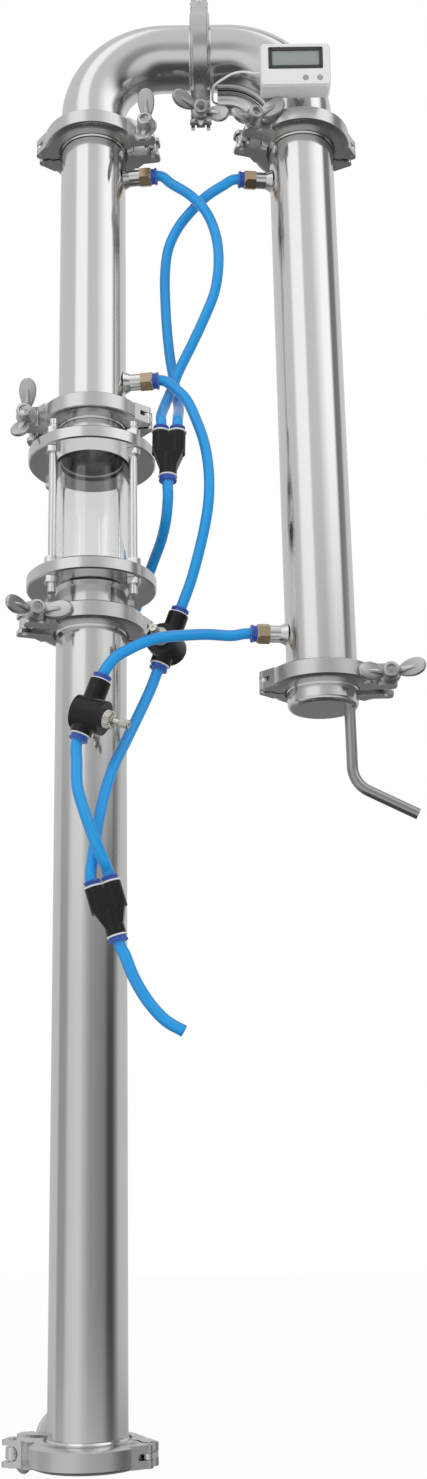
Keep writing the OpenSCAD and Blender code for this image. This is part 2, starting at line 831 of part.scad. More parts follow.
module condenser_valve_screw() {
    color("silver") valve_screw(CONDENSER_VALVE);
}

module hose_collars() {
    valve_seat = valve_len / 2 - collar_len;
    y_seat = y_len / 2 - collar_len;
    color("royalblue") {
        for (v = [DEPHLEGMATOR_VALVE, CONDENSER_VALVE]) on_fitting(v)
            for (flip = [0, 180]) rotate([flip, 0, 0]) translate([0, 0, valve_seat])
                collar(barrel_collar_r);
        for (y = [OUTLET_Y, INLET_Y]) on_fitting(y) {
            for (x = [-y_spread, y_spread]) translate([x, 0, y_seat]) collar(y_spread - 0.2);
            rotate([180, 0, 0]) translate([0, 0, y_seat]) collar(barrel_collar_r);
        }
    }
}

// Rounded plate in the XZ plane, centred, with its thickness along -Y
module front_plate(w, h, t, r) {
    rotate([90, 0, 0]) linear_extrude(t) {
        square([w - 2 * r, h], center = true);
        square([w, h - 2 * r], center = true);
        for (x = [-1, 1], y = [-1, 1]) translate([x * (w / 2 - r), y * (h / 2 - r)]) circle(r);
    }
}

// Places children on the case's back face, tilted to look down at the reader
module on_case() {
    translate([case_x, -case_front + case_d, probe_z + case_rise]) rotate([case_tilt, 0, 0])
        children();
}

module thermometer_case() {
    color("white") on_case() difference() {
        union() {
            front_plate(case_w, case_h, case_d - 2, case_corner);
            translate([0, -case_d + 2.01, 0])
                front_plate(case_w - 1.6, case_h - 1.6, 2, case_corner - 0.8);
        }
        translate([0, -case_d + bezel_t, bezel_rise]) front_plate(bezel_w, bezel_h, 3, 1);
        for (x = [-button_gap / 2, button_gap / 2])
            translate([x + button_side, -case_d + 1.5, -button_drop]) rotate([90, 0, 0])
                cylinder(h = 4, r = button_r + 0.15);
        translate([probe_x - case_x, 1, -case_rise]) rotate([90, 0, 0])
            cylinder(h = 4, r = 4.8);
    }
}

module thermometer_display() {
    color("#373c3c") on_case() translate([0, -case_d + bezel_t, bezel_rise])
        front_plate(bezel_w - 0.3, bezel_h - 0.3, bezel_t, 0.8);
}

module thermometer_buttons() {
    color("lightgrey") on_case() for (x = [-button_gap / 2, button_gap / 2])
        translate([x + button_side, -case_d + 1.5, -button_drop]) rotate([90, 0, 0])
            cylinder(h = 1.9, r = button_r);
}

// Gland nut on the elbow's boss, with the probe inside it and the neck into the case
module thermometer_stem() {
    color("silver") translate([probe_x, -boss_y, probe_z]) rotate([90, 0, 0]) {
        cylinder(h = 5, d = 14 / cos(30), $fn = 6);
        translate([0, 0, 4]) cylinder(h = case_front - case_d - boss_y - 2, r = 4);
        translate([0, 0, -boss_y]) cylinder(h = boss_y + 1, r = probe_r);
    }
}

// Blind sleeve that follows the inside of the elbow's bend, open toward the centre clamp
module probe_sleeve() {
    arc_x = condenser_x - elbow_bend;
    color("silver") translate([0, sleeve_y, 0]) difference() {
        union() {
            translate([sleeve_mouth, 0, sleeve_z]) rotate([0, 90, 0])
                cylinder(h = arc_x - sleeve_mouth, r = sleeve_r);
            translate([arc_x, 0, sleeve_z - sleeve_bend]) rotate([90, 0, 0])
                rotate_extrude(angle = sleeve_arc, start = 90 - sleeve_arc)
                    translate([sleeve_bend, 0]) circle(sleeve_r);
        }
        translate([sleeve_mouth - 1, 0, sleeve_z]) rotate([0, 90, 0])
            cylinder(h = 9, r = sleeve_bore);
    }
}

// Round tube swept along a list of points
module sweep(path, d = hose_d, sides = hose_sides) {
    last = len(path) - 1;
    tangents = [for (i = [0:last]) unit(path[min(i + 1, last)] - path[max(i - 1, 0)])];
    points = [
        for (i = [0:last])
            let (side = unit(cross(tangents[i], [0.3, 1, 0.2])), up = cross(side, tangents[i]))
            for (k = [0:sides - 1])
                path[i] + d / 2 * (cos(k * 360 / sides) * side + sin(k * 360 / sides) * up)
    ];
    walls = [
        for (i = [0:last - 1], k = [0:sides - 1])
            let (a = i * sides, b = a + sides, n = (k + 1) % sides)
            each [[a + k, b + k, b + n], [a + k, b + n, a + n]]
    ];
    caps = [
        [for (k = [0:sides - 1]) k],
        [for (k = [sides - 1:-1:0]) last * sides + k]
    ];
    polyhedron(points, concat(walls, caps), convexity = 10);
}

// Ends of a hose inside and at the mouth of what it is pushed into
hose_in = collar_len + 6;
hose_out = -3;
dephlegmator_ports = [
    dephlegmator_joint + gasket_t / 2 + dephlegmator_port,
    elbow_joint - gasket_t / 2 - dephlegmator_port
];
condenser_ports = [
    condenser_joint + gasket_t / 2 + condenser_port,
    elbow_joint - gasket_t / 2 - condenser_port
];
function from_port(x, z, side) = [for (d = [hose_in, hose_out]) port_point(x, z, side, d)];
function from_barrel(fitting, len, side) =
    [for (d = [hose_in, hose_out]) on_barrel(fitting, side * (len / 2 - d))];
function from_y_arm(fitting, side) =
    [for (d = [hose_in, hose_out]) on_y_arm(fitting, side, y_len / 2 - d)];

module hose(path) {
    color("dodgerblue") sweep(path);
}

module probe_lead() {
    start = [case_x - case_w / 2, -46, elbow_joint + 30];
    finish = [sleeve_mouth + 6, sleeve_y, sleeve_z];
    color("white") sweep(concat([start], LEAD, [finish - [4, 0, 0], finish]), lead_d, lead_sides);
}

module dephlegmator_outlet_hose() {
    hose(concat(from_port(0, dephlegmator_ports[1], 1), DEPHLEGMATOR_OUTLET,
                reversed(from_y_arm(OUTLET_Y, -1))));
}

module condenser_outlet_hose() {
    hose(concat(from_port(condenser_x, condenser_ports[1], -1), CONDENSER_OUTLET,
                reversed(from_y_arm(OUTLET_Y, 1))));
}

module dephlegmator_inlet_hose() {
    hose(concat(from_port(0, dephlegmator_ports[0], 1), DEPHLEGMATOR_INLET,
                reversed(from_barrel(DEPHLEGMATOR_VALVE, valve_len, 1))));
}

module condenser_inlet_hose() {
    hose(concat(from_port(condenser_x, condenser_ports[0], -1), CONDENSER_INLET,
                reversed(from_barrel(CONDENSER_VALVE, valve_len, 1))));
}

module dephlegmator_supply_hose() {
    hose(concat(from_barrel(DEPHLEGMATOR_VALVE, valve_len, -1), DEPHLEGMATOR_SUPPLY,
                reversed(from_y_arm(INLET_Y, -1))));
}

module condenser_supply_hose() {
    hose(concat(from_barrel(CONDENSER_VALVE, valve_len, -1), CONDENSER_SUPPLY,
                reversed(from_y_arm(INLET_Y, 1))));
}

module drain_hose() {
    hose(concat(from_barrel(OUTLET_Y, y_len, -1), DRAIN));
}

module supply_hose() {
    hose(concat(from_barrel(INLET_Y, y_len, -1), SUPPLY));
}

riser_column();
sight_lower_flange();
sight_upper_flange();
sight_glass();
sight_gaskets();
tie_rods();
tie_rod_nuts();
dephlegmator();
dephlegmator_core();
left_elbow();
right_elbow();
condenser();
condenser_core();
end_cap();
spout();
joint_gaskets();
base_clamp();
riser_clamp();
dephlegmator_clamp();
left_elbow_clamp();
centre_clamp();
right_elbow_clamp();
condenser_clamp();
swing_bolts();
wing_nuts();
hinge_links();
port_fittings();
port_collars();
thermometer_case();
thermometer_display();
thermometer_buttons();
thermometer_stem();
probe_sleeve();
probe_lead();
outlet_y_fitting();
inlet_y_fitting();
dephlegmator_valve();
condenser_valve();
dephlegmator_valve_screw();
condenser_valve_screw();
hose_collars();
dephlegmator_outlet_hose();
condenser_outlet_hose();
dephlegmator_inlet_hose();
condenser_inlet_hose();
dephlegmator_supply_hose();
condenser_supply_hose();
drain_hose();
supply_hose();
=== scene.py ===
import json
import math

import bmesh
import bpy
from mathutils import Matrix, Vector

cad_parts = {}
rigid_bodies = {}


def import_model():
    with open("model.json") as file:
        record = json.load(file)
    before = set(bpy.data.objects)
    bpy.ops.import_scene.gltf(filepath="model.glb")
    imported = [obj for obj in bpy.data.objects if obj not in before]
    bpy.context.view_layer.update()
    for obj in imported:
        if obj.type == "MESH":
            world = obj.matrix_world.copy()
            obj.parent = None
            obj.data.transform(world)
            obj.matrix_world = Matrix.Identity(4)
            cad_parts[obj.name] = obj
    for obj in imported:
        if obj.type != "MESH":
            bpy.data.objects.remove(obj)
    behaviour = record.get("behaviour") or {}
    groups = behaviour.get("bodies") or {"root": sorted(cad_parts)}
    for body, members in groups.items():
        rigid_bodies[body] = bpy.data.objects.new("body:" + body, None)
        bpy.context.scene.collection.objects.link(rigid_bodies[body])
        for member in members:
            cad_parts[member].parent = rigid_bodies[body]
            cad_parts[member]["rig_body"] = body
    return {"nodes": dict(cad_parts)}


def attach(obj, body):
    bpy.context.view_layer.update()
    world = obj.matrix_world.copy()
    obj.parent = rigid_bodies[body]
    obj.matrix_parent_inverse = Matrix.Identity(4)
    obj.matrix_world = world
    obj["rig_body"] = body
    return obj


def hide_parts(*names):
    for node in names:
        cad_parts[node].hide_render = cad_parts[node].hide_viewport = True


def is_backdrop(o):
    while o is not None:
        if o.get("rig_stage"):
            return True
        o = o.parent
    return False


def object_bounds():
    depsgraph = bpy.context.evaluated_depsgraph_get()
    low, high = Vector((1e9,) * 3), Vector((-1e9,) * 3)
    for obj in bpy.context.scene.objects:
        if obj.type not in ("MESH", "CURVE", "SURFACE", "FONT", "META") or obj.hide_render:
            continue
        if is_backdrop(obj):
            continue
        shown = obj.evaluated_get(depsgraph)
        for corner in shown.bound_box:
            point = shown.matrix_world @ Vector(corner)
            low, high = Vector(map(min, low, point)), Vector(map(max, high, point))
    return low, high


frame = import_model()
cad_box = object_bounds()
nodes = frame["nodes"]
MM = 0.001

# The camera stands low in front of the riser and looks up along the column, so every clamp
# shows its underside. It is turned a little toward the condenser and rolled by about a degree.
EYE = Vector((0.07883, -1.022, 0.16579))
PITCH, YAW, ROLL = math.radians(16.09), math.radians(0.46), math.radians(-1.10)
SENSOR_H, FOCAL_SHARE = 36, 1497.87 / 1479
NEAREST_SEEN = 0.05
camera = bpy.data.objects.new("camera", bpy.data.cameras.new("camera"))
bpy.context.scene.collection.objects.link(camera)
camera.data.sensor_fit = "VERTICAL"
camera.data.sensor_height = SENSOR_H
camera.data.lens = SENSOR_H * FOCAL_SHARE
camera.data.clip_start = NEAREST_SEEN
forward = Vector((math.sin(YAW) * math.cos(PITCH), math.cos(YAW) * math.cos(PITCH),
                  math.sin(PITCH)))
level = Vector((math.cos(YAW), -math.sin(YAW), 0))
across = math.cos(ROLL) * level + math.sin(ROLL) * level.cross(forward)
upward = across.cross(forward)
camera.matrix_world = Matrix.Translation(EYE) @ Matrix(
    (across, upward, -forward)).transposed().to_4x4()
bpy.context.scene.camera = camera
bpy.context.scene.view_settings.view_transform = "Standard"

# The cooling-water hoses are 8 mm blue polyurethane tube, cut square and pushed into fittings.
# The outlet hoses cross in front of the column, and the supply and drain hoses hang below them.
HOSE_D, HOSE_WALL = 8 * MM, 1.4 * MM
HOSE_IN, HOSE_OUT = 10.5, 3
PORT_TURN = math.radians(6)
PORT_MOUTH = 51
VALVE_HALF, Y_HALF, Y_SPREAD = 24.5, 22, 6
CONDENSER_X = 166
LINE_STEPS = 6


def pushed_in(mouth, outward):
    """The end of a hose at a fitting: a point inside the fitting's mouth, and one outside it."""
    outward = Vector(outward)
    return [Vector(mouth) - HOSE_IN * outward, Vector(mouth) + HOSE_OUT * outward]


def port(x, z, side):
    """The end of a hose at the port of the vessel whose axis is at x."""
    outward = Vector((side * math.cos(PORT_TURN), -math.sin(PORT_TURN), 0))
    return pushed_in(Vector((x, 0, z)) + PORT_MOUTH * outward, outward)


def barrel(centre, lean, half, side, offset=0):
    """The end of a hose at the mouth of a barrel that leans by lean degrees from +Z to +X."""
    along = Vector((math.sin(math.radians(lean)), 0, math.cos(math.radians(lean))))
    sideways = Vector((along.z, 0, -along.x))
    return pushed_in(Vector(centre) + side * half * along + offset * sideways, side * along)


def smooth_line(points):
    """Points in metres along a Catmull-Rom curve through points in millimetres."""
    points = [Vector(point) for point in points]
    points = [2 * points[0] - points[1]] + points + [2 * points[-1] - points[-2]]
    line = []
    for a, b, c, d in zip(points, points[1:], points[2:], points[3:]):
        for step in range(LINE_STEPS):
            t = step / LINE_STEPS
            line.append(0.5 * MM * (2 * b + (c - a) * t + (2 * a - 5 * b + 4 * c - d) * t * t
                                    + (3 * b - a - 3 * c + d) * t ** 3))
    return line + [points[-2] * MM]


def tube_curve(name, points, diameter, node, wall=0):
    """A round tube along points, which stands for its CAD solid, and the tube's length. With a
    wall it is hollow."""
    line = smooth_line(points)
    curve = bpy.data.curves.new(name, "CURVE")
    curve.dimensions = "3D"
    curve.bevel_depth = 1
    curve.bevel_resolution = 6
    curve.use_fill_caps = not wall
    spline = curve.splines.new("POLY")
    spline.points.add(len(line) - 1)
    for point, place in zip(spline.points, line):
        point.co = (*place, 1)
        point.radius = diameter / 2
    spline.use_smooth = True
    piece = bpy.data.objects.new(name, curve)
    bpy.context.scene.collection.objects.link(piece)
    if wall:
        shell = piece.modifiers.new("wall", "SOLIDIFY")
        shell.thickness, shell.offset = wall, -1
    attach(piece, "column")
    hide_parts(node)
    length = sum((b - a).length for a, b in zip(line, line[1:]))
    return piece, length


# Each moulded fitting's centre in millimetres, and its lean from +Z toward +X in degrees.
OUTLET_Y = ((57.8, -20, 674), 2)
INLET_Y = ((16, -40, 333), -16)
DEPHLEGMATOR_VALVE = ((56.5, -4, 535), 20)
CONDENSER_VALVE = ((3, -44, 472), 20)
# Each hose has its start, its route in millimetres, its finish, and the fitting it ends in.
HOSES = {
    "dephlegmator_outlet_hose": (
        port(0, 924, 1),
        [(62, -7, 916), (77, -11, 902), (89, -12, 886), (96, -12, 866), (98, -12, 843),
         (95, -9, 819), (87, -6, 798), (76, 0, 776), (66, 3, 756), (60, 2.5, 739),
         (55, -5, 722), (52.5, -14, 709)],
        barrel(*OUTLET_Y, Y_HALF, 1, -Y_SPREAD), "outlet_y_fitting"),
    "condenser_outlet_hose": (
        port(CONDENSER_X, 920, -1),
        [(104, -6, 915), (90, -3, 907), (78, 0, 896), (67, 2, 882), (59, 5, 865), (56, 8, 844),
         (56, 11, 820), (57, 12, 797), (59, 13, 774), (62, 13, 753), (64, 10, 737),
         (65.5, 1, 722), (65, -12, 709)],
        barrel(*OUTLET_Y, Y_HALF, 1, Y_SPREAD), "outlet_y_fitting"),
    "dephlegmator_inlet_hose": (
        port(0, 743, 1),
        [(61, -7, 737), (71, -12, 724), (78, -15, 706), (84, -16, 686), (87, -15, 665),
         (87, -14, 643), (84, -12, 622), (79, -9, 601), (73, -6, 580)],
        barrel(*DEPHLEGMATOR_VALVE, VALVE_HALF, 1), "dephlegmator_valve"),
    "condenser_inlet_hose": (
        port(CONDENSER_X, 538, -1),
        [(101, -10, 535), (83, -19, 533), (64, -31, 528), (50, -38, 524), (40, -41, 520),
         (29, -43, 514), (20, -44, 508)],
        barrel(*CONDENSER_VALVE, VALVE_HALF, 1), "condenser_valve"),
    "dephlegmator_supply_hose": (
        barrel(*DEPHLEGMATOR_VALVE, VALVE_HALF, -1),
        [(42, -6, 495), (34, -12, 475), (26, -20, 455), (18, -28, 435), (12, -33, 414),
         (8, -37, 393), (5, -39, 371)],
        barrel(*INLET_Y, Y_HALF, 1, -Y_SPREAD), "inlet_y_fitting"),
    "condenser_supply_hose": (
        barrel(*CONDENSER_VALVE, VALVE_HALF, -1),
        [(-6, -46, 434), (-5, -51, 415), (0, -54, 397), (6, -53, 380), (12, -47, 366)],
        barrel(*INLET_Y, Y_HALF, 1, Y_SPREAD), "inlet_y_fitting"),
    "drain_hose": (
        barrel(*OUTLET_Y, Y_HALF, -1),
        [(57, -18, 640), (55, -7, 627), (51, 9, 618), (45, 25, 609), (37, 40, 594),
         (27, 51, 572), (16, 57, 548), (9, 57, 525), (4, 55, 502), (1, 52, 480), (0, 49, 458)],
        None, None),
    "supply_hose": (
        barrel(*INLET_Y, Y_HALF, -1),
        [(26, -40, 303), (32, -39, 288), (41, -37, 273), (52, -34, 261), (64, -32, 254)],
        None, None),
}
hoses = []
for name, (start, route, finish, fitting) in HOSES.items():
    points = start + route + (finish[::-1] if finish else [])
    hose, length = tube_curve(name.replace("_hose", "_tube"), points, HOSE_D, name,
                              0 if finish else HOSE_WALL)
    hose.visible_glossy = False
    mouth = (start[0] * HOSE_OUT + start[1] * HOSE_IN) / (HOSE_IN + HOSE_OUT)
    hoses.append((hose, mouth * MM, length, fitting))

# The second probe's lead is thin white PVC wire. It loops out of the thermometer's side and into
# the blind sleeve behind the right elbow.
LEAD_D = 1.8 * MM
LEAD = [(133, -46, 986), (128, -45, 987), (120, -42, 991), (112, -39, 992), (105, -35, 991),
        (99.5, -31, 990), (97, -26, 991), (96.3, -18, 994), (96.2, -9, 998), (96.2, 1, 1001.5),
        (97, 9, 1005), (99.5, 13.5, 1007), (102.5, 14.7, 1007.5), (106.5, 14.7, 1007.5)]
lead, length = tube_curve("thermometer_lead", LEAD, LEAD_D, "probe_lead")

# The room is a plain white studio: a pale floor, one large soft lamp high on the left, a weaker
# one on the right, and tall soft boxes and dark gaps between them that the polished steel shows.
ROOM_LIGHT = 0.80
FLOOR_GREY, FLOOR_ROUGHNESS, FLOOR_SIZE = 0.80, 0.9, 4.0
# What the steel mirrors, by turn about the column in degrees. The greys are as it shows them.
TALL_HIGH = [(-180, .50), (-62, .50), (-53, .85), (-17, .87), (-12, .50), (18, .52), (30, .68),
             (50, .92), (74, .94), (84, .15), (108, .17), (118, .53), (180, .50)]
TALL_LOW = [(-180, .45), (-105, .47), (-97, .27), (-72, .28), (-60, .50), (-26, .56), (-10, .40),
            (5, .26), (50, .17), (62, .05), (78, .05), (90, .22), (104, .45), (180, .46)]
DOWNWARD = [(-180, .14), (-150, .18), (-105, .44), (-60, .52), (-30, .58), (10, .55), (45, .50),
            (70, .20), (100, .12), (140, .11), (180, .14)]
NADIR_GREY = 0.055
# The rise of a mirrored ray, from -1 to 1, over which one of those gives way to the next.
NADIR_FADE, FLOOR_FADE, LOW_FADE = (-0.86, -0.55), (-0.25, -0.08), (0.1, 0.5)
# The grey that is seen through the glass, and the share of light that the steel gives back.
THROUGH_GLASS, STEEL_MIRROR = 0.70, 0.74
# Each lamp's name, place, size in metres and power in watts.
LAMPS = (("left_lamp", (-1.0, -1.4, 1.9), 1.2, 9), ("right_lamp", (1.5, -0.8, 1.2), 0.9, 3))
LAMPS_AIM = Vector((0.08, 0, 0.6))
FLOOR_WHITE_SHARE = 0.95


def link(tree, *pairs):
    """Links each (output, input) pair."""
    for a, b in pairs:
        tree.links.new(a, b)


def maths(tree, operation, a, b=None, c=None):
    """The output of a maths node, whose inputs are numbers or sockets."""
    node = tree.nodes.new("ShaderNodeMath")
    node.operation = operation
    for socket, value in zip(node.inputs, (a, b, c)):
        if value is None:
            continue
        if isinstance(value, (int, float)):
            socket.default_value = value
        else:
            tree.links.new(value, socket)
    return node.outputs[0]


def grey(value):
    """A grey, in the form that a colour socket takes."""
    return value, value, value, 1


def blend(tree, share, a, b):
    """a where share is 0 and b where it is 1. Each is a colour or a socket."""
    node = tree.nodes.new("ShaderNodeMix")
    node.data_type = "RGBA"
    tree.links.new(share, node.inputs["Factor"])
    for socket, value in ((node.inputs["A"], a), (node.inputs["B"], b)):
        if isinstance(value, tuple):
            socket.default_value = value
        else:
            tree.links.new(value, socket)
    return node.outputs["Result"]


def ramp(tree, factor, stops):
    """Greys along a ramp with straight runs between its stops, which are (place, value)."""
    node = tree.nodes.new("ShaderNodeValToRGB")
    while len(node.color_ramp.elements) < len(stops):
        node.color_ramp.elements.new(0.5)
    for element, (place, value) in zip(node.color_ramp.elements, stops):
        element.position = place
        element.color = grey(value)
    tree.links.new(factor, node.inputs["Fac"])
    return node.outputs["Color"]


def soft_step(tree, value, low, high):
    """0 where value is under low and 1 where it is over high, with a soft turn between."""
    node = tree.nodes.new("ShaderNodeMapRange")
    node.interpolation_type = "SMOOTHSTEP"
    node.inputs["From Min"].default_value, node.inputs["From Max"].default_value = low, high
    tree.links.new(value, node.inputs["Value"])
    return node.outputs["Result"]


world = bpy.data.worlds.new("studio")
bpy.context.scene.world = world
world.use_nodes = True
tree = world.node_tree
direction = tree.nodes.new("ShaderNodeTexCoord").outputs["Generated"]
split = tree.nodes.new("ShaderNodeSeparateXYZ")
link(tree, (direction, split.inputs[0]))
turn = maths(tree, "ARCTAN2", split.outputs["X"], maths(tree, "MULTIPLY", split.outputs["Y"], -1))
share = maths(tree, "MULTIPLY_ADD", turn, 0.5 / math.pi, 0.5)
downward, low_boxes, high_boxes = (
    ramp(tree, share, [((a + 180) / 360, v / STEEL_MIRROR) for a, v in stops])
    for stops in (DOWNWARD, TALL_LOW, TALL_HIGH))
rise = split.outputs["Z"]
mirrored = blend(tree, soft_step(tree, rise, *FLOOR_FADE), downward, low_boxes)
mirrored = blend(tree, soft_step(tree, rise, *LOW_FADE), mirrored, high_boxes)
mirrored = blend(tree, soft_step(tree, rise, *NADIR_FADE), grey(NADIR_GREY / STEEL_MIRROR),
                 mirrored)
ray = tree.nodes.new("ShaderNodeLightPath")
seen = blend(tree, ray.outputs["Is Glossy Ray"], grey(ROOM_LIGHT), mirrored)
seen = blend(tree, ray.outputs["Is Transmission Ray"], seen, grey(THROUGH_GLASS))
seen = blend(tree, ray.outputs["Is Camera Ray"], seen, grey(1.0))
link(tree, (seen, tree.nodes["Background"].inputs["Color"]))

for name, place, size, power in LAMPS:
    lamp = bpy.data.objects.new(name, bpy.data.lights.new(name, "AREA"))
    lamp.data.size, lamp.data.energy = size, power
    lamp.location = place
    aim = LAMPS_AIM - Vector(place)
    lamp.rotation_euler = aim.to_track_quat("-Z", "Y").to_euler()
    lamp.visible_glossy = False
    bpy.context.scene.collection.objects.link(lamp)

floor_mesh = bmesh.new()
bmesh.ops.create_grid(floor_mesh, x_segments=1, y_segments=1, size=FLOOR_SIZE / 2)
bmesh.ops.translate(floor_mesh, verts=floor_mesh.verts, vec=(0, 0, cad_box[0].z - MM))
floor = bpy.data.objects.new("floor", bpy.data.meshes.new("floor"))
floor_mesh.to_mesh(floor.data)
floor_mesh.free()
bpy.context.scene.collection.objects.link(floor)
floor.visible_glossy = False
floor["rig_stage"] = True
floor_material = bpy.data.materials.new("floor")
floor_material.use_nodes = True
tree = floor_material.node_tree
paint = tree.nodes["Principled BSDF"]
paint.inputs["Base Color"].default_value = grey(FLOOR_GREY)
paint.inputs["Roughness"].default_value = FLOOR_ROUGHNESS
glow = tree.nodes.new("ShaderNodeEmission")
ray = tree.nodes.new("ShaderNodeLightPath")
mix = tree.nodes.new("ShaderNodeMixShader")
white_share = maths(tree, "MAXIMUM", ray.outputs["Is Camera Ray"],
                    ray.outputs["Is Transmission Ray"])
link(tree, (maths(tree, "MULTIPLY", white_share, FLOOR_WHITE_SHARE), mix.inputs["Fac"]),
     (paint.outputs[0], mix.inputs[1]), (glow.outputs[0], mix.inputs[2]),
     (mix.outputs[0], tree.nodes["Material Output"].inputs["Surface"]))
floor.data.materials.append(floor_material)

# The riser is plain welded tube with a ferrule at each end, polished along its length. The other
# polished tubes share its finish: fine marks along the tube and faint handling smudges.


def new_group(name, inputs, outputs):
    """A shader node group, with its input node and its output node."""
    group = bpy.data.node_groups.new(name, "ShaderNodeTree")
    for label, kind, value in inputs:
        socket = group.interface.new_socket(label, in_out="INPUT", socket_type=kind)
        socket.default_value = value
    for label, kind in outputs:
        group.interface.new_socket(label, in_out="OUTPUT", socket_type=kind)
    return group, group.nodes.new("NodeGroupInput"), group.nodes.new("NodeGroupOutput")


def noise(tree, where, scale, detail, roughness):
    """Noise at the place where, whose scale is three numbers or a socket, one for each axis."""
    node = tree.nodes.new("ShaderNodeTexNoise")
    node.inputs["Scale"].default_value = 1.0
    node.inputs["Detail"].default_value = detail
    node.inputs["Roughness"].default_value = roughness
    spread = tree.nodes.new("ShaderNodeVectorMath")
    spread.operation = "MULTIPLY"
    link(tree, (where, spread.inputs[0]))
    if isinstance(scale, tuple):
        spread.inputs[1].default_value = scale
    else:
        link(tree, (scale, spread.inputs[1]))
    link(tree, (spread.outputs[0], node.inputs["Vector"]))
    return node.outputs["Fac"]


# The grain group gives fine marks, drawn out along an axis whose scale is small, and broad soft
# smudges. The smudges change the colour, the marks give relief, and both change the roughness.
SMUDGE_SCALE = (38.0, 38.0, 21.0)
grain_group, given, put = new_group(
    "grain_and_smudges",
    [("Color", "NodeSocketColor", (0.7, 0.7, 0.7, 1)), ("Roughness", "NodeSocketFloat", 0.15),
     ("Grain Scale", "NodeSocketVector", (2600, 2600, 40)),
     ("Color Change", "NodeSocketFloat", 0.05), ("Roughness Change", "NodeSocketFloat", 0.04)],
    [("Color", "NodeSocketColor"), ("Roughness", "NodeSocketFloat"),
     ("Height", "NodeSocketFloat")])
place = grain_group.nodes.new("ShaderNodeTexCoord").outputs["Object"]
grain = noise(grain_group, place, given.outputs["Grain Scale"], detail=2.0, roughness=0.5)
smudge = noise(grain_group, place, SMUDGE_SCALE, detail=3.0, roughness=0.6)
tone = maths(grain_group, "MULTIPLY_ADD", maths(grain_group, "SUBTRACT", smudge, 0.5),
             maths(grain_group, "MULTIPLY", given.outputs["Color Change"], 2.0), 1.0)
tint = grain_group.nodes.new("ShaderNodeVectorMath")
tint.operation = "SCALE"
link(grain_group, (given.outputs["Color"], tint.inputs[0]), (tone, tint.inputs["Scale"]),
     (tint.outputs[0], put.inputs["Color"]),
     (maths(grain_group, "MULTIPLY_ADD",
            maths(grain_group, "SUBTRACT",
                  maths(grain_group, "ADD", grain, smudge), 1.0),
            given.outputs["Roughness Change"], given.outputs["Roughness"]),
      put.inputs["Roughness"]),
     (grain, put.inputs["Height"]))


def finish_of(name, colour, roughness, metallic=0.0, grain_scale=(900, 900, 900),
              colour_change=0.05, roughness_change=0.06, bump=0.1, depth=0.00004):
    """A material whose colour, roughness and relief come from the grain group."""
    material = bpy.data.materials.new(name)
    material.use_nodes = True
    tree = material.node_tree
    shader = tree.nodes["Principled BSDF"]
    shader.inputs["Metallic"].default_value = metallic
    group = tree.nodes.new("ShaderNodeGroup")
    group.node_tree = grain_group
    group.inputs["Color"].default_value = (*colour, 1)
    group.inputs["Roughness"].default_value = roughness
    group.inputs["Grain Scale"].default_value = grain_scale
    group.inputs["Color Change"].default_value = colour_change
    group.inputs["Roughness Change"].default_value = roughness_change
    relief = tree.nodes.new("ShaderNodeBump")
    relief.inputs["Strength"].default_value = bump
    relief.inputs["Distance"].default_value = depth
    link(tree, (group.outputs["Color"], shader.inputs["Base Color"]),
         (group.outputs["Roughness"], shader.inputs["Roughness"]),
         (group.outputs["Height"], relief.inputs["Height"]),
         (relief.outputs["Normal"], shader.inputs["Normal"]))
    return material


def dress(material, *names):
    """Gives the material to every slot of the CAD nodes."""
    for name in names:
        for slot in nodes[name].material_slots:
            slot.material = material


STEEL = (0.74, 0.735, 0.73)
polished_tube = finish_of("polished_tube", STEEL, 0.13, metallic=1.0, grain_scale=(2400, 2400, 30),
                          colour_change=0.03, roughness_change=0.05, bump=0.12, depth=0.00002)
dress(polished_tube, "riser_column")

# The sight glass unit is a borosilicate tube between two turned flanges, on flat silicone rings.
# Four threaded tie rods with hexagon nuts draw it together, and the top nuts are domed.
turned_steel = finish_of("turned_steel", (0.67, 0.665, 0.66), 0.17, metallic=1.0,
                         grain_scale=(300, 300, 2600), colour_change=0.03, bump=0.12,
                         depth=0.00002)
dress(turned_steel, "sight_lower_flange", "sight_upper_flange")
bolt_steel = finish_of("bolt_steel", (0.76, 0.755, 0.745), 0.16, metallic=1.0,
                       grain_scale=(700, 700, 700), roughness_change=0.08)
dress(bolt_steel, "tie_rods")
ROD_RING, ROD_TURN, NUT_TWIST = 41 * MM, 51, 0.3
NUT_AF, NUT_H, NUT_CHAMFER = 10 * MM, 5 * MM, 0.35 * MM
DOME_R, DOME_H, DOME_SINK, DOME_FOOT = 4.4 * MM, 4.6 * MM, 1 * MM, 1.5 * MM
SIGHT_LOW, SIGHT_HIGH, FLANGE_T = 573.5 * MM, 675 * MM, 10 * MM


def merge_into(shape, part, matrix):
    """Adds the mesh part, placed by matrix, to the mesh shape."""
    copy = bpy.data.meshes.new("part")
    part.to_mesh(copy)
    copy.transform(matrix)
    shape.from_mesh(copy)
    bpy.data.meshes.remove(copy)


def lathe(profile, steps):
    """A closed solid turned about Z from (radius, height) points. They start and end on Z, or
    else the last joins the first, for a ring."""
    shape = bmesh.new()
    ring = [shape.verts.new((r, 0, z)) for r, z in profile]
    for a, b in zip(ring, ring[1:]):
        shape.edges.new((a, b))
    if profile[0][0] > 0:
        shape.edges.new((ring[-1], ring[0]))
    bmesh.ops.spin(shape, geom=shape.verts[:] + shape.edges[:], cent=(0, 0, 0), axis=(0, 0, 1),
                   angle=2 * math.pi, steps=steps, use_merge=True)
    bmesh.ops.remove_doubles(shape, verts=shape.verts, dist=0.000005)
    bmesh.ops.recalc_face_normals(shape, faces=shape.faces)
    return shape


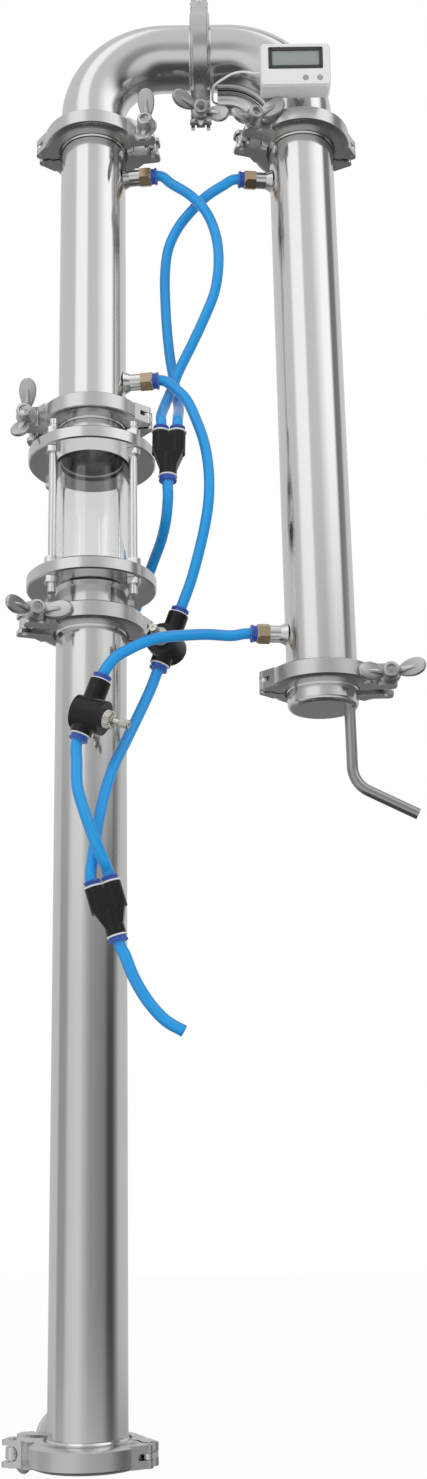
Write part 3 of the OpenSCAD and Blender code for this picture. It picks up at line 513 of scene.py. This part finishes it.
def hexagon_nut(af, height, chamfer):
    """A hexagon nut on Z whose corners are taken off at both ends."""
    shape = bmesh.new()
    radius = af / 2 / math.cos(math.radians(30))
    bmesh.ops.create_cone(shape, cap_ends=True, segments=6, radius1=radius, radius2=radius,
                          depth=height)
    bmesh.ops.translate(shape, verts=shape.verts, vec=(0, 0, height / 2))
    bmesh.ops.bevel(shape, geom=shape.edges[:], affect="EDGES", offset=chamfer, segments=2,
                    profile=0.5, material=-1)
    return shape


def new_piece(name, shape, material, body, stands_for=None, smooth_angle=35):
    """An object made of the bmesh shape, riding on a body. It is smooth up to smooth_angle."""
    for face in shape.faces:
        face.smooth = True
    for edge in shape.edges:
        if len(edge.link_faces) == 2:
            edge.smooth = edge.calc_face_angle(0) < math.radians(smooth_angle)
    piece = bpy.data.objects.new(name, bpy.data.meshes.new(name))
    shape.to_mesh(piece.data)
    shape.free()
    bpy.context.scene.collection.objects.link(piece)
    piece.data.materials.append(material)
    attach(piece, body)
    if stands_for:
        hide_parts(stands_for)
    return piece


rod_nuts = bmesh.new()
nut = hexagon_nut(NUT_AF, NUT_H, NUT_CHAMFER)
cap_nut = hexagon_nut(NUT_AF, NUT_H, NUT_CHAMFER)
dome_arc = [(DOME_R * math.sin(math.radians(a)),
             NUT_H - DOME_SINK + (DOME_H + DOME_SINK) * math.cos(math.radians(a)))
            for a in range(15, 91, 15)]
dome = lathe([(0, NUT_H + DOME_H)] + dome_arc
             + [(DOME_R, NUT_H - DOME_FOOT), (0, NUT_H - DOME_FOOT)], steps=24)
merge_into(cap_nut, dome, Matrix())
NUT_SEATS = ((SIGHT_LOW - NUT_H, nut), (SIGHT_LOW + FLANGE_T, nut), (SIGHT_HIGH - NUT_H, nut),
             (SIGHT_HIGH + FLANGE_T, cap_nut))
for number in range(4):
    turn = math.radians(ROD_TURN + 90 * number)
    for z, kind in NUT_SEATS:
        merge_into(rod_nuts, kind, Matrix.Translation(
            (ROD_RING * math.cos(turn), ROD_RING * math.sin(turn), z))
            @ Matrix.Rotation(turn + NUT_TWIST * number, 4, "Z"))
for part in (nut, cap_nut, dome):
    part.free()
new_piece("rod_nuts", rod_nuts, bolt_steel, "column", "tie_rod_nuts",
          smooth_angle=18)
silicone = finish_of("silicone", (0.80, 0.80, 0.77), 0.5, grain_scale=(400, 400, 400),
                     colour_change=0.04, roughness_change=0.1)
dress(silicone, "sight_gaskets")
clear_glass = finish_of("clear_glass", (0.97, 0.975, 0.975), 0.012, grain_scale=(300, 300, 60),
                        colour_change=0.004, roughness_change=0.012, bump=0.0)
glass = clear_glass.node_tree.nodes["Principled BSDF"]
glass.inputs["Transmission Weight"].default_value = 1.0
glass.inputs["IOR"].default_value = 1.47
dress(clear_glass, "sight_glass")

# The dephlegmator and the condenser are polished shells with a tube bundle inside, and stubs
# welded on for the water. Their finish is the riser's.
dress(polished_tube, "dephlegmator", "condenser")
dress(turned_steel, "dephlegmator_core", "condenser_core")

# The elbows are drawn bends with ferrules welded on, polished by hand round the bend. The right
# one carries the thermometer's boss, and a blind sleeve for the second probe behind it.
bend_steel = finish_of("bend_steel", STEEL, 0.17, metallic=1.0, grain_scale=(500, 2200, 500),
                       colour_change=0.04, roughness_change=0.08, bump=0.14, depth=0.00003)
dress(bend_steel, "left_elbow", "right_elbow", "probe_sleeve")

# The end cap is a pressed cup with a ferrule, and closes the condenser's lower end. The bent
# delivery tube is welded through it, and has a duller finish.
dress(bend_steel, "end_cap")
spout_steel = finish_of("spout_steel", (0.40, 0.40, 0.395), 0.26, metallic=1.0,
                        grain_scale=(1200, 1200, 200), colour_change=0.06, roughness_change=0.1,
                        bump=0.15, depth=0.00003)
dress(spout_steel, "spout")

# The joint gaskets are flat rings of white silicone. Each lies between two ferrules, where the
# clamp squeezes it, so only its rim shows.
dress(silicone, "joint_gaskets")

# The hinged clamps are investment-cast stainless, tumbled to a satin skin, with every edge
# rounded. A swing bolt with a winged nut closes each one opposite its double hinge.


def softened(name, node, material, width, segments=2, angle=30):
    """A copy of a CAD solid, merged, with its edges rounded. It stands for that solid."""
    shape = bmesh.new()
    shape.from_mesh(nodes[node].data)
    bmesh.ops.remove_doubles(shape, verts=shape.verts, dist=0.00001)
    bmesh.ops.dissolve_limit(shape, angle_limit=math.radians(1.0), verts=shape.verts,
                             edges=shape.edges)
    for face in shape.faces:
        face.smooth = True
    piece = bpy.data.objects.new(name, bpy.data.meshes.new(name))
    shape.to_mesh(piece.data)
    shape.free()
    bpy.context.scene.collection.objects.link(piece)
    edge = piece.modifiers.new("rounded edges", "BEVEL")
    edge.width, edge.segments, edge.limit_method = width, segments, "ANGLE"
    edge.angle_limit = math.radians(angle)
    even = piece.modifiers.new("even shading", "WEIGHTED_NORMAL")
    even.keep_sharp = True
    piece.data.materials.append(material)
    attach(piece, nodes[node]["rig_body"])
    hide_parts(node)
    return piece


cast_steel = finish_of("cast_steel", (0.64, 0.64, 0.635), 0.25, metallic=1.0, colour_change=0.06,
                       roughness_change=0.12, bump=0.25, depth=0.00005)
# Each clamp's centre in millimetres, the turn of its ring about Y and then about its own axis,
# the side that its nut is on, and the turn of the nut's wings about the bolt, in degrees.
CLAMPS = {
    "base": ((0, 0, -1), 0, -18, 1, 130),
    "riser": ((0, 0, 547.5), 0, 20, -1, 0),
    "dephlegmator": ((0, 0, 711), 0, -6, -1, 80),
    "left_elbow": ((0, 0, 956), 0, 172, 1, 85),
    "centre": ((86.5, 0, 1039), 90, 200, 1, 68),
    "right_elbow": ((166, 0, 956), 0, 17, -1, 26),
    "condenser": ((166, 0, 502), 0, 180, 1, 5)}
for name in CLAMPS:
    softened(f"{name}_clamp_casting", f"{name}_clamp", cast_steel,
             width=0.8 * MM)
BOLT_X, LUG_SEAT = 46.5, 16.5
PAD_L, PAD_W, PAD_T, PAD_ROUND, PAD_FLARE = 23.5, 13.5, 3.2, 1.2, 55
PAD_FOOT = (3.4, 0, 4)
# The width of a pad's foot as a share, the length over which it widens, and how square the
# oval's sides and ends are, where 1 is a plain ellipse and 0 a square.
PAD_NARROW, PAD_WIDENS, OVAL_SIDES, OVAL_ENDS = 0.52, 1.1, 0.85, 0.8
HUB = [(0, 0), (7.6, 0), (8, 0.4), (8, 1.7), (7.6, 2.1), (6.9, 2.6), (6.6, 5), (5.9, 10.6),
       (5.4, 11.7), (4.7, 12), (3.6, 12), (3.5, 11), (0, 11)]
WEB_SIZE, WEB_MIDDLE, WEB_ROUND = (3.4, 4.6, 15), (-0.9, 0, 8.5), 0.7
WEB_TIP_T, WEB_TIP_W, WEB_TIP_OUT = 0.3, 0.6, 0.5


def turned(angle, axis):
    """A turn by angle degrees about an axis."""
    return Matrix.Rotation(math.radians(angle), 4, axis)


def millimetres(matrix):
    """The matrix, made to place a shape that is drawn in millimetres."""
    return Matrix.Scale(MM, 4) @ matrix


def finger_pad():
    """A wing's pad in millimetres: an oval plate in the YZ plane, narrower at its foot, with a
    rounded rim."""
    shape = bmesh.new()
    bmesh.ops.create_circle(shape, cap_ends=True, segments=28, radius=1)
    for vert in shape.verts:
        across, along = vert.co.x, vert.co.y
        fill = PAD_NARROW + (1 - PAD_NARROW) * min(1, (along + 1) / PAD_WIDENS)
        vert.co = (0, PAD_W / 2 * math.copysign(abs(across) ** OVAL_SIDES, across) * fill,
                   PAD_L * (0.5 + 0.5 * math.copysign(abs(along) ** OVAL_ENDS, along)))
    sides = bmesh.ops.extrude_face_region(shape, geom=shape.faces[:])["geom"]
    bmesh.ops.translate(shape, vec=(PAD_T, 0, 0),
                        verts=[v for v in sides if isinstance(v, bmesh.types.BMVert)])
    bmesh.ops.recalc_face_normals(shape, faces=shape.faces)
    rim = [e for e in shape.edges if e.calc_face_angle(0) > math.radians(60)]
    bmesh.ops.bevel(shape, geom=rim, affect="EDGES", offset=PAD_ROUND, segments=3, profile=0.5,
                    material=-1)
    return shape


wing_nuts = bmesh.new()
hub = lathe(HUB, steps=32)
pad = finger_pad()
web = bmesh.new()
bmesh.ops.create_cube(web, size=1)
bmesh.ops.scale(web, vec=WEB_SIZE, verts=web.verts)
bmesh.ops.translate(web, vec=WEB_MIDDLE, verts=web.verts)
for vert in web.verts:
    if vert.co.z > WEB_MIDDLE[2]:
        vert.co.x = vert.co.x * WEB_TIP_T + WEB_TIP_OUT
        vert.co.y *= WEB_TIP_W
bmesh.ops.bevel(web, geom=web.edges[:], affect="EDGES", offset=WEB_ROUND, segments=2,
                profile=0.5, material=-1)
for centre, ring_turn, spin, side, wing_turn in CLAMPS.values():
    place = (Matrix.Translation(centre) @ turned(ring_turn, "Y") @ turned(spin, "Z")
             @ turned(180 if side < 0 else 0, "X") @ Matrix.Translation((-BOLT_X, LUG_SEAT, 0))
             @ turned(-90, "X") @ turned(wing_turn, "Z"))
    merge_into(wing_nuts, hub, millimetres(place))
    for half in (0, 180):
        wing = place @ turned(half, "Z") @ Matrix.Translation(PAD_FOOT) @ turned(PAD_FLARE, "Y")
        merge_into(wing_nuts, pad, millimetres(wing))
        merge_into(wing_nuts, web, millimetres(wing))
for part in (hub, pad, web):
    part.free()
wing_satin = finish_of("wing_satin", (0.60, 0.60, 0.595), 0.34, metallic=1.0, colour_change=0.06,
                       roughness_change=0.1, bump=0.25, depth=0.00005)
new_piece("wing_nut_castings", wing_nuts, wing_satin, "column", "wing_nuts",
          smooth_angle=50)
dress(bolt_steel, "swing_bolts", "hinge_links")

# The push-in fittings of the ports are turned brass with hexagons, and screw into the stubs.
# Their release collars, and those of the Y pieces and valves, are moulded in blue plastic.
brass = finish_of("brass", (0.54, 0.42, 0.27), 0.28, metallic=1.0, colour_change=0.10,
                  roughness_change=0.12, bump=0.15)
softened("port_fitting_hexes", "port_fittings", brass, width=0.5 * MM)
collar_blue = finish_of("collar_blue", (0.025, 0.085, 0.42), 0.32, colour_change=0.12,
                        roughness_change=0.1)
for name in ("port", "hose"):
    rings = softened(f"{name}_release_rings", f"{name}_collars", collar_blue,
                     width=0.35 * MM)
    rings.visible_glossy = False

# The hoses' skin is dyed blue polyurethane, clear and glossy, with faint extrusion marks along it.
# Its colour goes darker toward the edges that turn from view: painted shade that rounds the tube,
# and partly the deeper tint where more of the wall is seen through. The lead's is white PVC.
HOSE_EDGE_SHADE = (0.008, 0.15, 0.46, 1)
hose_skin = finish_of("hose_skin", (0.014, 0.36, 0.84), 0.24, grain_scale=(700, 700, 60),
                      colour_change=0.10, roughness_change=0.08, bump=0.08)
tree = hose_skin.node_tree
skin = tree.nodes["Principled BSDF"]
# Painted shade: the skin's colour goes to the darker blue toward the edges that turn from view.
edge_shade_weight = tree.nodes.new("ShaderNodeLayerWeight")
edge_shade_weight.inputs["Blend"].default_value = 0.3
dyed = next(node for node in tree.nodes if node.type == "GROUP")
link(tree, (blend(tree, edge_shade_weight.outputs["Facing"], dyed.outputs["Color"], HOSE_EDGE_SHADE),
            skin.inputs["Base Color"]))
skin.inputs["Specular IOR Level"].default_value = 0.3
skin.inputs["Coat Weight"].default_value = 0.3
skin.inputs["Coat Roughness"].default_value = 0.12
for hose, *_ in hoses:
    hose.data.materials.append(hose_skin)
lead_skin = finish_of("lead_skin", (0.80, 0.80, 0.79), 0.35, grain_scale=(700, 700, 700),
                      roughness_change=0.1)
lead.data.materials.append(lead_skin)

# The thermometer is a white moulded case on a gland nut in the elbow's boss, with a dark window
# frame round a grey liquid-crystal panel, and two rubber buttons below it.
case_white = finish_of("case_white", (0.80, 0.80, 0.80), 0.38, grain_scale=(1500, 1500, 1500),
                       colour_change=0.02, roughness_change=0.08, bump=0.12)
softened("thermometer_housing", "thermometer_case", case_white,
         width=1.2 * MM, segments=3)
window_dark = finish_of("window_dark", (0.04, 0.042, 0.045), 0.2, colour_change=0.1,
                        roughness_change=0.08, bump=0.05)
CASE = Matrix.Translation((0.160, -0.039, 0.988)) @ turned(8, "X")
WINDOW_W, WINDOW_H, WINDOW_RISE, WINDOW_RIM = 41.7 * MM, 17.7 * MM, 5 * MM, 2.6 * MM
BEZEL_FRONT, BEZEL_ROUND, BEZEL_T, BEZEL_STEP = -18.3 * MM, 1.2 * MM, 1.2 * MM, 1.1 * MM
WALLED_W, WALLED_H = 2 * MM, 1 * MM
PANEL_FRONT, PANEL_ROUND, PANEL_TUCK = -17.3 * MM, 0.4 * MM, 0.52 * MM


def window_plate(width, height, radius, front):
    """A flat plate with rounded corners, square to Y at front in the case's own frame."""
    shape = bmesh.new()
    bmesh.ops.create_grid(shape, x_segments=1, y_segments=1, size=0.5)
    bmesh.ops.scale(shape, vec=(width, height, 1), verts=shape.verts)
    bmesh.ops.bevel(shape, geom=shape.verts[:], affect="VERTICES", offset=radius, segments=4,
                    profile=0.5, material=-1)
    bmesh.ops.rotate(shape, matrix=Matrix.Rotation(math.radians(90), 3, "X"), verts=shape.verts)
    bmesh.ops.translate(shape, vec=(0, front, WINDOW_RISE), verts=shape.verts)
    return shape


bezel = window_plate(WINDOW_W, WINDOW_H, BEZEL_ROUND, BEZEL_FRONT)
bmesh.ops.inset_individual(bezel, faces=bezel.faces[:], thickness=WINDOW_RIM,
                           use_even_offset=True)
middle = max(bezel.faces, key=lambda face: len(face.verts))
sunk = bmesh.ops.extrude_discrete_faces(bezel, faces=[middle])["faces"]
bmesh.ops.translate(bezel, vec=(0, BEZEL_STEP, 0), verts=sunk[0].verts)
bmesh.ops.delete(bezel, geom=sunk, context="FACES")
# Walls go back from the outer rim and from the long edges of the recess.
walled = [e for e in bezel.edges if e.is_boundary and (
    max(abs(v.co.x) for v in e.verts) > WINDOW_W / 2 - WALLED_W
    or max(abs(v.co.z - WINDOW_RISE) for v in e.verts) > WINDOW_H / 2 - WALLED_H)]
deep = bmesh.ops.extrude_edge_only(bezel, edges=walled)["geom"]
bmesh.ops.translate(bezel, vec=(0, BEZEL_T, 0),
                    verts=[v for v in deep if isinstance(v, bmesh.types.BMVert)])
bmesh.ops.transform(bezel, matrix=CASE, verts=bezel.verts)
new_piece("display_bezel", bezel, window_dark, "column", "thermometer_display")
panel_rim = 2 * (WINDOW_RIM - PANEL_TUCK)
panel = window_plate(WINDOW_W - panel_rim, WINDOW_H - panel_rim, PANEL_ROUND, PANEL_FRONT)
bmesh.ops.transform(panel, matrix=CASE, verts=panel.verts)
panel_grey = finish_of("panel_grey", (0.30, 0.335, 0.315), 0.12, colour_change=0.04,
                       roughness_change=0.05, bump=0.05)
new_piece("display_panel", panel, panel_grey, "column")
button_rubber = finish_of("button_rubber", (0.38, 0.33, 0.34), 0.5, colour_change=0.1,
                          roughness_change=0.1, bump=0.2)
dress(button_rubber, "thermometer_buttons")
dress(bolt_steel, "thermometer_stem")

# The Y pieces and needle valves are moulded in glass-filled black nylon, with rounded edges.
# The hoses push into their mouths and hold them up, and nothing fixes them to the column.
nylon_black = finish_of("nylon_black", (0.0075, 0.0075, 0.0095), 0.36,
                        grain_scale=(1300, 1300, 1300), colour_change=0.2, roughness_change=0.16,
                        bump=0.3, depth=0.00006)
nylon_black.node_tree.nodes["Principled BSDF"].inputs["Specular IOR Level"].default_value = 0.34
for name in ("outlet_y_fitting", "inlet_y_fitting", "dephlegmator_valve", "condenser_valve"):
    moulding = softened(f"{name}_moulding", name, nylon_black,
                        width=1.0 * MM, segments=3, angle=25)
    moulding.visible_glossy = False

# A thin white ring sits in each mouth of the moulded fittings, round the hose, at the inner end of
# the release collar.
COLLAR_L = 4.5
MOUTH_RING = [(5.9, -0.2), (6.7, -0.2), (7.1, 0.1), (7.1, 0.7), (6.9, 0.9), (5.9, 0.9)]
mouth_rings = bmesh.new()
mouth_ring = lathe(MOUTH_RING, steps=36)
for start, _, finish, _ in HOSES.values():
    for end in (start, finish):
        outward = (end[1] - end[0]).normalized() if end else Vector()
        if abs(outward.z) > 0.5:  # a port's mouth is level, and a fitting's is up or down
            seat = end[0] + (HOSE_IN - COLLAR_L) * outward
            merge_into(mouth_rings, mouth_ring, millimetres(
                Matrix.Translation(seat) @ outward.to_track_quat("Z", "Y").to_matrix().to_4x4()))
mouth_ring.free()
ring_white = finish_of("ring_white", (0.78, 0.78, 0.77), 0.35, colour_change=0.04,
                       roughness_change=0.08, bump=0.08)
new_piece("mouth_white_rings", mouth_rings, ring_white, "column").visible_glossy = False

# Each valve's adjusting screw is turned in nickel-plated brass, with a knob at its end. The lock
# ring on its thread has knurls round its rim and on its face, and the knob has finer ones.
nickel = finish_of("nickel", (0.62, 0.59, 0.55), 0.24, metallic=1.0, colour_change=0.08,
                   roughness_change=0.1)
SCREWS = {"dephlegmator": ((0.05101, -0.01636, 0.53168), (-0.29038, -0.95106, 0.10569)),
          "condenser": ((0.01309, -0.04736, 0.46301), (0.90767, -0.25882, -0.33037))}
SCREW = [(0, -6), (2.9, -6), (2.9, 0.35), (5.9, 0.35), (6.4, 0.8), (6.4, 5.2), (5.9, 5.8),
         (3.6, 5.8), (3.3, 6.2), (2.4, 6.5), (2.4, 11.2), (3.2, 11.8), (3.2, 17.6),
         (2.7, 18.3), (1.2, 18.3), (1.2, 17.4), (0, 17.4)]
KNURLS, KNURL_STEPS = 24, 4
# Each band of knurls has its heights, its least radius, the share of the radius that is left in
# a groove, and how far down a groove goes.
KNURL_BANDS = ((0.8, 5.2, 6, 0.93, 0), (5.7, 6, 3.5, 1, 0.35), (11.7, 17.7, 3, 0.95, 0))
for valve, (mouth, axis) in SCREWS.items():
    screw = lathe(SCREW, steps=KNURL_STEPS * KNURLS)
    for vert in screw.verts:
        radius, height = vert.co.xy.length, vert.co.z
        step = math.atan2(vert.co.y, vert.co.x) / (2 * math.pi) * KNURL_STEPS * KNURLS
        if round(step) % KNURL_STEPS > 1:
            continue
        for low, high, least, left, down in KNURL_BANDS:
            if low <= height <= high and radius > least:
                vert.co.xy *= left
                vert.co.z -= down
    along = Vector(axis).to_track_quat("Z", "Y").to_matrix().to_4x4()
    bmesh.ops.transform(screw, matrix=Matrix.Translation(mouth) @ millimetres(along),
                        verts=screw.verts)
    new_piece(f"{valve}_adjusting_screw", screw, nickel, f"{valve}_screw",
              f"{valve}_valve_screw", smooth_angle=30)

# Each hose already ends pushed into the mouth of its fitting. Here the parts that each hose ends
# in, the fitting's moulding and a valve's adjusting screw, are listed, and the list is not used
# further. The drain hose and the supply hose end bare.
for hose, mouth, length, fitting in hoses:
    on_it = [f"{fitting}_moulding"] if fitting else []
    if fitting and fitting.endswith("_valve"):
        on_it.append(fitting.replace("_valve", "_adjusting_screw"))

bpy.context.view_layer.update()
size = {"cad": [list(c) for c in cad_box], "visual": [list(c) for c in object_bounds()]}
